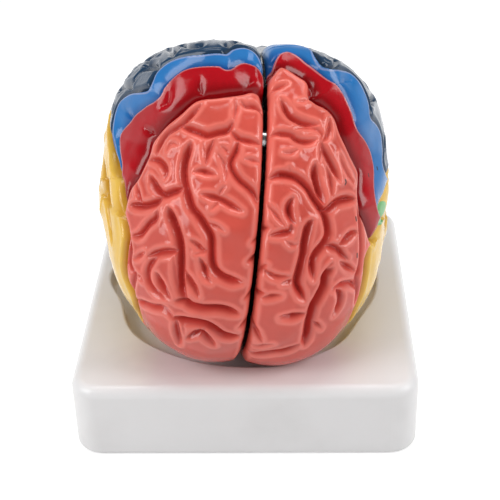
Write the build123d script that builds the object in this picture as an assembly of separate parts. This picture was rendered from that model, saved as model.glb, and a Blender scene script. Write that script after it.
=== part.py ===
from build123d import *
import math
import os

import numpy as np

os.makedirs("parts", exist_ok=True)

# The brain: half its width, its reach to the front and back, its height above and below the middle.
half_width = 68.9
front_reach = 83.9
back_reach = 84.0
upper_reach = 70.5
lower_reach = 61.0
squareness = 2.09
swell_soften = 0.25

# The base: a white block with soft edges and a well in its top.
base_side_margin = 11.1
base_width = 2 * (half_width + base_side_margin)
base_shorter_by = 1.9
base_depth = front_reach + back_reach - base_shorter_by
base_height = 38.0
base_corner_radius = 13.0
base_top_round = 5.0
base_bottom_round = 3.0
well_depth = 8.5
well_side_rim = 9.5
well_front_rim = 18.5
well_back_rim = 10.5
well_half_width = base_width / 2 - well_side_rim
well_front = base_depth / 2 - well_front_rim
well_back = base_depth / 2 - well_back_rim
# The well follows the brain's own outline: shares of its half width, and of its reach to the front or back.
well_outline = [(-1, 0.31), (-0.98, 0.05), (-0.9, -0.14), (-0.85, -0.36), (-0.78, -0.55), (-0.52, -0.82),
                (-0.19, -0.97), (0.03, -1), (0.24, -0.98), (0.43, -0.88), (0.63, -0.71), (0.76, -0.43),
                (0.88, -0.14), (0.92, 0.05), (0.92, 0.33), (0.77, 0.68), (0.42, 0.95), (0, 1),
                (-0.46, 0.95), (-0.83, 0.69)]
well_lip_round = 1.6
well_floor_round = 2.5

# How the brain lies on the base: it leans to its left and is turned a little.
brain_lean = 8.6
brain_turn = 4.9
brain_pitch = 0.5
brain_shift_x = -1.3
brain_front_margin = 6.0
brain_shift_y = front_reach + brain_front_margin - base_depth / 2
rest_gap = 0.3

# The halves.
half_gap = 1.6
medial_edge_round = 5.5
side_flat_angle = 84.5
side_calm_start = 73.0
side_calm_end = 79.5
ring_count = 34
ring_points = 130

# The folds.
fold_depth = 2.9
fold_width = 2.7
shoulder_depth = 1.3
shoulder_width = 5.0
fold_join = 4.0

# The pins that hold the halves together.
pin_diameter = 8.0
pin_length = 16.0
pin_clearance = 0.1
pin_end_gap = 0.5
pin_chamfer = 0.5
pin_depth = 10.5
pin_angles = (49, 160)

# The small pieces underneath.
small_gap = 0.4
cerebellum_width = 88.0
cerebellum_length = 40.0
cerebellum_height = 30.0
cerebellum_back = 0.48 * back_reach
cerebellum_drop = 42.2
cerebellum_fullest = 0.216 * cerebellum_width
cerebellum_rings = 11
tip_flat = 0.6
leaf_count = 26
leaf_points = 7
leaf_depth = 0.8

# The stem hangs under the halves, a little behind the middle. Its sections: depth below its top, width,
# thickness.
stem_back = 0.155 * back_reach
stem_gap = 0.3
stem_sections = [(0, 22, 14), (5.25, 25, 15), (11.25, 18, 13), (17.25, 13, 11)]

# Lobes swell out from the plain egg: angle round the middle, angle to the side, the swell as a share
# of the half width, and its spread in degrees.
lobe_swells = {
    "frontal": (-28, 14, 0.228, 27),
    "temporal": (-38, 62, -0.094, 26),
    "parietal": (120, 45, 0.096, 28),
    "crown": (80, 18, 0.177, 26),
    "cheek": (20, 45, 0.044, 26),
    "brow_side": (-20, 48, 0.061, 16),
    "temple": (-12, 72, 0.058, 18),
    "side_dip": (45, 50, -0.058, 18),
    "top_dip": (112, 10, -0.065, 24),
    "under_temple": (-78, 50, 0.102, 24),
    "over_cerebellum": (228, 14, -0.435, 32),
    "over_stem": (266, 0, -0.174, 20),
    "occipital": (158, 22, 0.058, 24),
}

# Folds are short curves of (angle round the middle, angle to the side), in degrees.
# Round the middle, 0 looks forward, 90 up and 180 back. To the side, 0 is the midline and 90 the ear.
# Each curve starts with how deep it is beside a plain fold.
left_folds = [
    (1.2, [(71, 0.5), (76.5, 3), (75.5, 6), (73, 8.5), (71, 10.5), (69.5, 13), (66.5, 14), (63.5, 13.5),
           (62, 15.5), (61.5, 18.5), (60, 21.5), (57.5, 24), (54, 25.5), (50, 28.5), (46, 31.5),
           (41.5, 35.5), (37, 35.5), (31, 34.5), (24, 35.5), (20, 38.5), (14, 41), (10, 43)]),
    (1.0, [(79, 2), (82.5, 3), (86, 6), (84.5, 8.5), (80.5, 10.5), (76, 14), (73, 17), (71, 20), (70, 23),
           (67.5, 25.5), (64.5, 28), (60, 31), (57, 36), (56, 42), (53.5, 46.5), (47.5, 48.5), (38.5, 48),
           (32, 47), (25.5, 49), (18, 54.5)]),
    (1.0, [(99, 1), (96, 6), (94, 11), (88, 14.5), (83, 15.5), (78, 16.5), (77.5, 20), (80.5, 24),
           (85.5, 29), (86.5, 33), (85.5, 36), (81, 39), (75.5, 40.5), (72, 42.5), (76.5, 49),
           (76.5, 54.5), (71, 58), (62, 59), (57, 64), (58, 73.5)]),
    (0.8, [(64.5, 1), (65.5, 2.5), (66.5, 5.5)]),
    (1.0, [(60.5, 4), (57.5, 5.5), (55, 7), (54, 9), (53, 12), (53.5, 16)]),
    (0.4, [(62, 13), (60.5, 11), (60, 9)]),
    (0.8, [(47.5, 1), (48.5, 2.5), (48.5, 5.5), (48.5, 7.5), (47, 9), (46.5, 11.5), (47, 14),
           (48, 15.5)]),
    (0.5, [(50.5, 8.5), (51.5, 11), (52, 14), (51.5, 17), (50, 18), (48, 17)]),
    (0.6, [(57, 20), (53, 20.5), (49.5, 19.5), (47.5, 17.5)]),
    (0.9, [(47.5, 17.5), (44.5, 19), (41.5, 21), (38.5, 23), (35.5, 24.5)]),
    (0.5, [(47, 17), (43.5, 17.5), (40.5, 17)]),
    (1.2, [(39.5, 15.5), (36.5, 15.5), (33, 16.5), (30, 17.5), (27, 19)]),
    (0.6, [(39.5, 19.5), (36.5, 21), (33, 21.5), (29.5, 21.5)]),
    (0.5, [(44.5, 24.5), (41, 26.5), (37.5, 29), (35, 31)]),
    (1.1, [(26, 16.5), (25, 18), (24.5, 20), (26.5, 22), (28, 24), (29, 27), (29.5, 31.5)]),
    (0.5, [(42, 5), (42, 7.5), (43.5, 9.5)]),
    (0.5, [(35.5, 7.5), (37.5, 7)]),
    (1.2, [(33.5, 1.5), (35, 4), (35, 7), (34.5, 9.5), (33, 12), (31, 14), (28.5, 15.5), (26, 17.5),
           (23.5, 19.5), (20.5, 20.5), (17.5, 21), (15, 20), (13, 18.5), (11.5, 17), (9.5, 16), (7, 16),
           (4, 16.5)]),
    (1.1, [(28, 8.5), (26, 7.5), (24, 7.5), (21.5, 8.5), (20.5, 9.5)]),
    (0.9, [(20.5, 8.5), (18, 8.5), (17.5, 7), (17, 4.5), (16.5, 2.5)]),
    (1.3, [(21.5, 15), (20, 14), (17.5, 13.5), (14.5, 13), (11.5, 13), (9, 12.5), (6.5, 12), (4, 11.5),
           (2, 11.5), (-0.5, 13), (-2, 14)]),
    (0.7, [(3, 7), (3.5, 9.5), (3, 11)]),
    (1.4, [(6, 22.5), (4.5, 20.5), (1.5, 20.5), (-0.5, 19.5), (-3, 18), (-4.5, 17), (-7.5, 16.5),
           (-10, 16), (-14, 16), (-17.5, 15.5)]),
    (0.9, [(13.5, 19), (13.5, 21), (13, 23), (12, 25), (10, 26.5), (8.5, 28.5)]),
    (0.8, [(8, 25.5), (5.5, 28.5), (3, 32)]),
    (0.9, [(13.5, 25), (15.5, 28), (17, 30), (17.5, 32.5)]),
    (0.8, [(-0.5, 23), (0, 25.5), (-0.5, 29), (-2, 32), (-5.5, 34)]),
    (1.0, [(-1, 24.5), (-3.5, 26.5), (-6, 26.5), (-8, 25.5), (-9.5, 24)]),
    (0.8, [(-9.5, 17), (-11, 18.5), (-12.5, 20)]),
    (0.9, [(-7, 7.5), (-7, 11), (-6.5, 14.5)]),
    (0.7, [(-2, 2), (-1, 4.5), (-0.5, 7)]),
    (0.8, [(-10, 0), (-11.5, 0.5), (-13.5, 2), (-15.5, 3.5)]),
    (0.9, [(-23.5, 1.5), (-22, 4.5), (-20, 7.5), (-19.5, 10), (-18.5, 12), (-17, 14)]),
    (0.6, [(7, 1), (5.5, 3), (4.5, 5.5), (5, 9)]),
    (0.7, [(27, 32.5), (22.5, 34), (17, 34.5), (11.5, 35), (6.5, 35), (2.5, 34.5), (0, 33), (-6, 34.5),
           (-11.5, 33.5)]),
    (0.6, [(93, 24), (87, 24), (79.5, 22)]),
    (0.5, [(73, 24), (76, 26), (77.5, 29)]),
    (1.2, [(-34, 30), (-24, 33.5), (-15.5, 34.5), (-11, 37), (-5.5, 37.5), (-1, 38.5), (4.5, 39),
           (9.5, 40), (14, 46), (18.5, 50), (22.5, 52.5), (28, 56), (40.5, 63.5), (57, 67), (80, 70),
           (104, 68), (128, 61)]),
    (0.8, [(84, 20), (92, 22), (101, 28)]),
    (0.8, [(80, 42), (92, 44), (102, 48)]),
    (0.8, [(76, 60), (92, 58), (108, 60)]),
]

right_folds = [
    (1.2, [(58, 0), (62, 0), (64, 1.5), (64, 5), (62.5, 7.5), (61.5, 12), (61, 16), (61, 19.5),
           (60.5, 22.5), (59, 25), (56.5, 28.5), (54.5, 33), (51.5, 37), (48, 40.5), (42.5, 41),
           (37, 43.5), (31.5, 45), (27, 48.5), (18.5, 49), (10, 48.5)]),
    (1.0, [(71, 0), (73, 0.5), (74, 3), (74.5, 6.5), (73, 9), (71, 11), (70, 12.5), (71.5, 14.5),
           (72, 18), (73, 22), (73, 25), (72.5, 28), (71, 31.5), (68.5, 34), (67, 35.5), (67, 38.5),
           (68.5, 44), (69, 49), (68.5, 54.5), (68, 59), (63, 61), (49, 59.5), (41.5, 58), (31.5, 59.5)]),
    (1.0, [(78.5, 0), (82, 1.5), (85.5, 4.5), (84.5, 7.5), (81.5, 10.5), (78, 12.5), (78, 16),
           (78.5, 20.5), (81, 25.5), (82, 29.5), (82.5, 33.5), (81, 36.5), (78, 38.5), (75, 40),
           (79.5, 45), (86.5, 49.5), (93, 54), (97, 58.5), (92, 62), (84, 65.5), (68.5, 67), (52, 66),
           (36.5, 61.5)]),
    (0.8, [(57.5, 20), (55.5, 22.5), (53, 25), (51.5, 27), (50.5, 29.5), (49.5, 32.5), (46, 35),
           (42.5, 36), (40.5, 36)]),
    (1.0, [(51, 27), (49.5, 24), (48, 21), (46.5, 18), (47.5, 15.5), (48, 12.5), (49, 11), (51, 10)]),
    (0.8, [(48.5, 11), (47, 9.5), (45.5, 8), (45, 4.5), (44.5, 1)]),
    (0.8, [(58.5, 7.5), (57, 6.5), (57.5, 4), (57, 2), (55.5, 0.5)]),
    (0.5, [(59.5, 9.5), (56.5, 9), (53.5, 9.5), (51.5, 9.5)]),
    (0.9, [(45, 8), (41.5, 8.5), (38.5, 10), (36.5, 10), (34.5, 9), (32, 7), (30, 4), (28, 2),
           (25.5, 1)]),
    (0.6, [(39, 5.5), (38.5, 1)]),
    (1.2, [(44, 23), (40, 24.5), (36, 25), (32, 24.5), (29, 23.5), (25.5, 22), (22, 20.5), (20, 18),
           (17, 15.5), (14.5, 13.5), (11, 13), (7.5, 12.5), (5, 11.5), (3.5, 9.5), (2.5, 6.5),
           (2.5, 3.5)]),
    (0.7, [(45.5, 15.5), (43, 16.5), (40.5, 17.5), (36.5, 17.5)]),
    (0.4, [(44.5, 19), (41.5, 18.5), (38.5, 18.5)]),
    (0.8, [(34, 21), (34.5, 19), (34, 17), (33.5, 14.5)]),
    (0.6, [(42.5, 13), (41.5, 11.5), (39.5, 10.5)]),
    (0.8, [(27, 18), (26.5, 15), (26, 12.5), (25, 10), (24, 8), (23, 5.5)]),
    (0.5, [(26, 12.5), (28.5, 12.5), (30, 11)]),
    (0.9, [(39.5, 39.5), (39, 35.5), (36.5, 32.5), (34, 31), (31.5, 31)]),
    (1.1, [(32, 37.5), (29, 35.5), (26.5, 33), (25, 30.5), (26.5, 28), (27.5, 25.5), (29, 24)]),
    (1.1, [(24.5, 31), (22, 33), (20.5, 36), (19.5, 38.5), (19, 42), (18.5, 44.5)]),
    (0.7, [(29, 44), (24.5, 42), (21, 40), (19.5, 38)]),
    (1.3, [(21, 28), (17.5, 26.5), (14.5, 24.5), (11.5, 23), (8, 22), (5, 21.5), (1.5, 21), (-1, 20.5),
           (-4, 19.5), (-5.5, 18)]),
    (0.9, [(19.5, 32), (16.5, 32), (14, 34.5), (11, 36), (8, 37.5), (6.5, 40.5)]),
    (0.7, [(12.5, 19.5), (11.5, 17.5), (10, 15.5), (10.5, 13.5)]),
    (0.5, [(8.5, 17.5), (9.5, 15.5), (10, 13)]),
    (0.9, [(7.5, 16), (5, 14.5), (2.5, 13.5), (1.5, 12)]),
    (0.8, [(3, 20.5), (1, 18.5), (-1.5, 16), (-3.5, 14.5)]),
    (0.9, [(2.5, 32.5), (5, 29.5), (7, 26), (8, 22)]),
    (0.6, [(-1.5, 38), (0.5, 36), (3.5, 34)]),
    (1.0, [(-1.5, 28.5), (-3.5, 27), (-5.5, 25), (-7, 22.5)]),
    (0.5, [(6, 24), (2.5, 23), (-1, 22), (-4, 20.5)]),
    (1.1, [(-7, 20.5), (-6, 18), (-7, 16.5), (-7, 14), (-6.5, 11.5), (-6, 9.5), (-6, 7), (-6.5, 5),
           (-7, 3)]),
    (0.8, [(-18, 34), (-15.5, 30.5), (-13.5, 27), (-11.5, 24), (-12, 22), (-13, 20.5)]),
    (1.2, [(-13, 20.5), (-12.5, 18), (-12, 15.5), (-11.5, 13), (-11.5, 11), (-12.5, 9), (-14.5, 6.5),
           (-15, 4.5), (-15, 2)]),
    (0.9, [(-13, 19.5), (-16.5, 19), (-20, 18), (-22.5, 17.5)]),
    (0.5, [(-13.5, 17.5), (-16.5, 16.5)]),
    (1.0, [(-18, 15.5), (-15.5, 13.5), (-14.5, 12), (-16, 10.5), (-18.5, 8)]),
    (0.6, [(-14.5, 12), (-12, 11)]),
    (0.7, [(12.5, 46), (8, 44), (3.5, 42), (0, 40), (-4, 40), (-6.5, 38), (-7, 36), (-12.5, 36.5),
           (-16.5, 35)]),
    (0.6, [(-6, 35.5), (-7, 32.5)]),
    (0.8, [(105.5, 27.5), (92, 25.5), (86, 22.5), (84, 19.5), (117, 15.5), (82.5, 12.5), (86.5, 11),
           (94.5, 8.5)]),
    (0.7, [(117, 32), (93, 31), (84.5, 29.5)]),
    (0.7, [(85.5, 29.5), (92.5, 28.5), (105.5, 27.5)]),
    (0.9, [(121.5, 54.5), (105, 52), (96, 49), (95.5, 47), (96.5, 44), (94.5, 41), (88.5, 38), (83, 35)]),
    (0.7, [(111.5, 48.5), (113.5, 44), (110.5, 40), (100.5, 36)]),
    (0.7, [(67, 20.5), (64.5, 21), (62, 20), (61, 19)]),
    (0.5, [(68, 3), (67, 5), (64.5, 6.5)]),
    (0.6, [(66, 31), (62.5, 32), (61.5, 35)]),
    (0.6, [(57.5, 44), (54, 41), (51, 38)]),
    (0.6, [(78.5, 54), (72.5, 52.5), (67.5, 51)]),
    (1.2, [(122.5, 73.5), (117, 77.5), (85.5, 80), (43, 74), (25.5, 69), (13.5, 65), (4.5, 61.5),
           (-2, 56.5), (-6.5, 51.5)]),
    (1.2, [(-34, 31), (-24, 33), (-17.5, 35), (-14, 40), (-9.5, 41.5), (-1, 43), (3.5, 43.5), (7.5, 45.5),
           (10.5, 47.5), (18, 52.5), (23.5, 54.5), (30, 56.5), (36, 60), (47.5, 63.5), (59.5, 66),
           (75, 68.5), (100, 69), (124, 63)]),
    (0.8, [(86, 36), (94, 38), (101, 42)]),
    (0.8, [(90, 49), (101, 50.5), (114, 56)]),
]

# Folds of the back, the sides and the underside, which the photograph hides, alike on both halves.
hidden_folds = [
    (1.1, [(104, 34), (114, 29), (126, 26), (138, 26), (149, 22)]),
    (0.9, [(108, 4), (112, 11), (109, 18)]),
    (0.9, [(124, 3), (128, 11), (124, 18)]),
    (0.8, [(137, 8), (142, 16)]),
    (1.2, [(151, 2), (154, 10), (150, 18)]),
    (0.9, [(112, 44), (123, 40), (134, 38), (142, 33)]),
    (0.8, [(118, 52), (131, 50), (143, 45)]),
    (0.9, [(166, 8), (172, 16), (169, 27), (160, 34)]),
    (1.0, [(182, 4), (187, 13), (185, 25), (178, 36)]),
    (0.8, [(199, 6), (203, 16), (200, 28)]),
    (0.9, [(152, 44), (163, 42), (173, 46), (184, 46)]),
    (0.8, [(196, 36), (201, 45), (196, 54)]),
    (0.8, [(138, 58), (150, 56), (161, 58)]),
    (0.8, [(-38, 10), (-52, 12), (-66, 12)]),
    (0.8, [(-36, 22), (-50, 26), (-64, 24)]),
    (0.9, [(-92, 44), (-108, 42), (-126, 38)]),
    (0.9, [(-72, 58), (-98, 60), (-124, 54)]),
]

# Folds of the temple, seen from the side: shares of the half width behind and above the middle.
temple_reach = 0.84
temple_folds = [
    (1.2, [(-0.61, -0.06), (-0.43, 0.07), (-0.17, 0.13), (0.09, 0.14), (0.38, 0.16), (0.58, 0.25),
           (0.72, 0.36)]),
    (1.0, [(-0.52, -0.26), (-0.29, -0.17), (-0.03, -0.16), (0.23, -0.14), (0.46, -0.07), (0.67, 0.03)]),
    (0.9, [(-0.38, -0.46), (-0.12, -0.39), (0.17, -0.38), (0.43, -0.3), (0.7, -0.2)]),
    (0.7, [(-0.28, 0.12), (-0.3, -0.03)]),
    (0.7, [(0.09, -0.17), (0.06, -0.3)]),
    (0.7, [(0.38, -0.12), (0.35, -0.23)]),
    (0.8, [(0.41, 0.35), (0.52, 0.43), (0.67, 0.46)]),
]


def direction(around, aside):
    """Unit vectors for angles in degrees, with x to the side, y back and z up."""
    a = np.radians(around)
    s = np.radians(aside)
    return np.stack([np.sin(s), -np.cos(s) * np.cos(a), np.cos(s) * np.sin(a)], axis=-1)


def blend(t):
    return 0.5 * (1 + np.tanh(t / swell_soften))


def plain_radius(ways):
    """Distance from the middle to the unfolded surface along each way."""
    x, y, z = ways[..., 0], ways[..., 1], ways[..., 2]
    along = front_reach + (back_reach - front_reach) * blend(y)
    tall = lower_reach + (upper_reach - lower_reach) * blend(z)
    n = squareness
    total = (np.abs(x) / half_width) ** n + (np.abs(y) / along) ** n + (np.abs(z) / tall) ** n
    radius = total ** (-1 / n)
    for around, aside, swell, spread in lobe_swells.values():
        cosine = ways @ direction(float(around), float(aside))
        angle = np.degrees(np.arccos(np.clip(cosine, -1, 1)))
        radius = radius + swell * half_width * np.exp(-(angle / spread) ** 2)
    return radius


def on_surface(ways):
    return ways * plain_radius(ways)[..., None]


def smooth_curve(corners):
    """Cut the corners of a short chain twice, keeping its ends."""
    chain = np.array(corners, float)
    for _ in range(2):
        near = chain[:-1] * 0.75 + chain[1:] * 0.25
        far = chain[:-1] * 0.25 + chain[1:] * 0.75
        middle = np.stack([near, far], axis=1).reshape(-1, 3)
        chain = np.vstack([chain[:1], middle, chain[-1:]])
    return chain


def front_curve(pairs):
    angles = np.array(pairs, float)
    ways = direction(angles[:, 0], angles[:, 1])
    return smooth_curve(on_surface(ways))


def temple_curve(pairs):
    places = np.array(pairs, float)
    ways = np.column_stack([np.full(len(places), temple_reach), places])
    ways = ways / np.linalg.norm(ways, axis=1)[:, None]
    return smooth_curve(on_surface(ways))


def fold_curves(side_folds):
    curves = [(depth, front_curve(pairs)) for depth, pairs in side_folds + hidden_folds]
    curves += [(depth, temple_curve(pairs)) for depth, pairs in temple_folds]
    return curves


def distance_to(curve, points):
    """Distance from each point to a chain of straight steps."""
    nearest = np.full(len(points), 1e9)
    for start, end in zip(curve[:-1], curve[1:]):
        step = end - start
        along = np.clip((points - start) @ step / (step @ step), 0, 1)
        gap = np.linalg.norm(points - start - along[:, None] * step, axis=1)
        nearest = np.minimum(nearest, gap)
    return nearest


def fold_carving(points, curves):
    """How deep the folds cut at each point: a narrow groove between soft shoulders."""
    total = np.zeros(len(points))
    for depth, curve in curves:
        gap = distance_to(curve, points)
        groove = fold_depth * np.exp(-(gap / fold_width) ** 2)
        shoulder = shoulder_depth * np.exp(-(gap / shoulder_width) ** 2)
        total += (depth * (groove + shoulder)) ** fold_join
    return total ** (1 / fold_join)


def edge_inset(height):
    """How far a rounded edge draws in at a height above the flat face."""
    e = medial_edge_round
    up = np.clip(height, 0, e)
    return e - np.sqrt(e * e - (e - up) ** 2)


def calm_near_pole(aside):
    """Folds fade out close to the small flat that closes the side."""
    left = (side_calm_end - aside) / (side_calm_end - side_calm_start)
    left = min(1.0, max(0.0, left))
    return left * left * (3 - 2 * left)


def ring_angles():
    edge_angle = math.degrees(math.asin(medial_edge_round / upper_reach))
    edge_steps = [edge_angle * part for part in (0, 0.06, 0.22, 0.5)]
    rest = np.linspace(edge_angle, side_flat_angle, ring_count - len(edge_steps))
    return edge_steps + list(rest)


def flatten_end(ring):
    """Bring the last ring into the plane nearest to it, so that a flat face can close it."""
    middle = ring.mean(axis=0)
    normal = np.linalg.svd(ring - middle)[2][2]
    return ring - ((ring - middle) @ normal)[:, None] * normal


def half_brain_rings(side, side_folds):
    """Closed rings over one half, from the flat medial face out to the ear."""
    curves = fold_curves(side_folds)
    around = np.arange(ring_points) * 360.0 / ring_points
    rings = []
    for aside in ring_angles():
        ways = direction(around, np.full(ring_points, aside))
        plain = on_surface(ways)
        radius = np.linalg.norm(plain, axis=1)
        radius = radius - fold_carving(plain, curves) * calm_near_pole(aside)
        radius = radius - edge_inset(radius * math.sin(math.radians(aside)))
        rings.append(ways * radius[:, None])
    rings[-1] = flatten_end(rings[-1])
    mirror = np.array([side, 1, 1])
    shift = np.array([side * half_gap / 2, 0, 0])
    return [ring * mirror + shift for ring in rings]


def closed_wire(points):
    steps = [i / len(points) for i in range(len(points) + 1)]
    corners = [Vector(*map(float, point)) for point in points]
    return Wire([Edge.make_spline(corners, periodic=True, parameters=steps)])


def half_brain(rings):
    """One hemisphere: a smooth loft through its rings, less the bores for the pins."""
    half = Solid.make_loft([closed_wire(ring) for ring in rings])
    for around in pin_angles:
        half = half - pin_rod(around, pin_diameter + 2 * pin_clearance, pin_length + 2 * pin_end_gap)
    return half.solids()[0]


def pin_rod(around, diameter, length):
    way = direction(float(around), 0.0)
    reach = float(plain_radius(way)) - pin_depth
    x, y, z = reach * way
    return Pos(0, float(y), float(z)) * Rot(0, 90, 0) * Cylinder(diameter / 2, length)


def joining_pins():
    """Two steel pins across the gap, their ends broken by a small chamfer."""
    pins = []
    for around in pin_angles:
        rod = pin_rod(around, pin_diameter, pin_length)
        pins.append(chamfer(rod.edges().filter_by(GeomType.CIRCLE), pin_chamfer).solids()[0])
    return Compound(pins)


def leafy_ring(x, size):
    """One upright section of the small brain, its edge waved by leaves that run out to its tip."""
    turn = np.arange(leaf_count * leaf_points) * 2 * math.pi / (leaf_count * leaf_points)
    wave = 1 - size * leaf_depth / cerebellum_height * (1 - np.cos(leaf_count * turn))
    across = cerebellum_length / 2 * size * wave * np.sin(turn)
    up = cerebellum_height / 2 * size * wave * np.cos(turn)
    return np.column_stack([np.full(len(turn), x), across + cerebellum_back, up - cerebellum_drop])


def half_cerebellum(side):
    """A rounded lobe, fullest a little to the side, with leaves that close in at its tip."""
    reach = cerebellum_width / 2 - cerebellum_fullest
    rings = []
    for t in np.linspace(0, 1, cerebellum_rings):
        x = small_gap / 2 + t * (cerebellum_width / 2 - small_gap / 2 - tip_flat)
        size = math.sqrt(1 - ((x - cerebellum_fullest) / reach) ** 2)
        rings.append(leafy_ring(side * x, size))
    return Solid.make_loft([closed_wire(ring) for ring in rings])


def keep_side(shape, side):
    """The part of a shape on one side of the midline, less half a thin gap."""
    reach = 2 * half_width
    x = side * (reach / 2 + small_gap / 2)
    return (shape & Pos(x, 0, 0) * Box(reach, 4 * reach, 4 * reach)).solids()[0]


def stem_top(rings):
    """The height just under the halves, over the whole top of the stem."""
    wide, deep = stem_sections[0][1:]
    points = np.vstack(rings)
    reach = (points[:, 0] / (wide / 2)) ** 2 + ((points[:, 1] - stem_back) / (deep / 2)) ** 2
    above = (reach < 1.1) & (points[:, 2] < 0)
    return float(points[above][:, 2].min()) - stem_gap


def half_stem(side, top):
    """The stem: a full bulge above, tapering down."""
    sections = []
    for drop, wide, deep in stem_sections:
        plane = Plane(origin=(0, stem_back, top - drop), z_dir=(0, 0, 1))
        sections.append(plane * Ellipse(wide / 2, deep / 2))
    return keep_side(loft(sections), side)


def lie_of_brain(rise):
    return (Pos(brain_shift_x, brain_shift_y, rise) * Rot(0, 0, brain_turn)
            * Rot(0, brain_lean, 0) * Rot(brain_pitch, 0, 0))


def lowest_point(rings):
    """The lowest height on some rings once they are turned as the brain lies."""
    tilt, lean = math.radians(brain_pitch), math.radians(brain_lean)
    points = np.vstack(rings)
    upright = points[:, 1] * math.sin(tilt) + points[:, 2] * math.cos(tilt)
    return float((upright * math.cos(lean) - points[:, 0] * math.sin(lean)).min())


def well():
    """The space for the brain, which follows its outline, with a rounded floor."""
    points = []
    for across, along in well_outline:
        reach = well_back if along > 0 else well_front
        points.append((across * well_half_width, along * reach))
    outline = make_face(Spline(*points, periodic=True))
    cut = extrude(Plane.XY.offset(base_height - well_depth) * outline, well_depth + 1)
    return fillet(cut.edges().group_by(Axis.Z)[0], well_floor_round)


def base():
    """The white block with soft edges, and the well in its top."""
    block = Box(base_width, base_depth, base_height, align=(Align.CENTER, Align.CENTER, Align.MIN))
    block = fillet(block.edges().filter_by(Axis.Z), base_corner_radius)
    block = fillet(block.faces().sort_by(Axis.Z)[-1].edges(), base_top_round)
    block = fillet(block.faces().sort_by(Axis.Z)[0].edges(), base_bottom_round)
    block = block - well()
    lip = block.faces().sort_by(Axis.Z)[-1].inner_wires()[0].edges()
    return fillet(lip, well_lip_round).solids()[0]


def build_parts():
    left_rings = half_brain_rings(1, left_folds)
    right_rings = half_brain_rings(-1, right_folds)
    lowest = min(lowest_point(left_rings), lowest_point(right_rings))
    lie = lie_of_brain(base_height - well_depth + rest_gap - lowest)
    top = stem_top(left_rings + right_rings)
    return {
        "base": base(),
        "left_hemisphere": lie * half_brain(left_rings),
        "right_hemisphere": lie * half_brain(right_rings),
        "left_cerebellum": lie * half_cerebellum(1),
        "right_cerebellum": lie * half_cerebellum(-1),
        "left_brainstem": lie * half_stem(1, top),
        "right_brainstem": lie * half_stem(-1, top),
        "joining_pins": lie * joining_pins(),
    }


for name, shape in build_parts().items():
    export_step(shape, f"parts/{name}.step")
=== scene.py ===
import math

import bpy
import numpy as np
from mathutils import Matrix, Vector, noise


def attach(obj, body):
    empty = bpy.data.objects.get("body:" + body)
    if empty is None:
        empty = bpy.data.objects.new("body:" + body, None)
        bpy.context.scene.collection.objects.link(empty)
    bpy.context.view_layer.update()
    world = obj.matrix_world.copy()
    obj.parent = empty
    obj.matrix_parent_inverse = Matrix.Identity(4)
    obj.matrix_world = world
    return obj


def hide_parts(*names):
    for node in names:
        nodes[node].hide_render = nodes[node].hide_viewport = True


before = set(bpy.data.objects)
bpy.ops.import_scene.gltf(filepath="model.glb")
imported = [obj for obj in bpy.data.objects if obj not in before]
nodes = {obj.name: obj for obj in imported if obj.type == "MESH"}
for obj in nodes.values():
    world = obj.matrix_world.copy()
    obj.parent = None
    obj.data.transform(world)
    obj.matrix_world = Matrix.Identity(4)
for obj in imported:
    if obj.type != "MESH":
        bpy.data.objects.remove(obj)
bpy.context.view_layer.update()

mm = 0.001

print("brain model: frame loaded")


# form of the brain, in millimetres and degrees
# around: 0 looks forward, 90 up, 180 back; aside: 0 is the midline, 90 the ear
# left and right are the brain's own sides, so its left half is on the viewer's right
brainForm = dict(halfWidth=68.9, front=83.9, back=84.0, upper=70.5, lower=61.0, square=2.09, soften=0.25,
                 gap=1.6, edgeRound=5.5)
# each swell: around, aside, height and spread
lobeSwells = [
    (-28, 14, 15.7, 27), (-38, 62, -6.5, 26), (120, 45, 6.6, 28), (80, 18, 12.2, 26), (20, 45, 3.0, 26),
    (-20, 48, 4.2, 16), (-12, 72, 4.0, 18), (45, 50, -4.0, 18), (112, 10, -4.5, 24),
    (-78, 50, 7.0, 24), (228, 14, -30.0, 32), (266, 0, -12.0, 20), (158, 22, 4.0, 24),
]
brainLie = dict(lean=8.6, turn=4.9, pitch=0.5, across=-1.3, along=6.9, rise=90.676)

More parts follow.
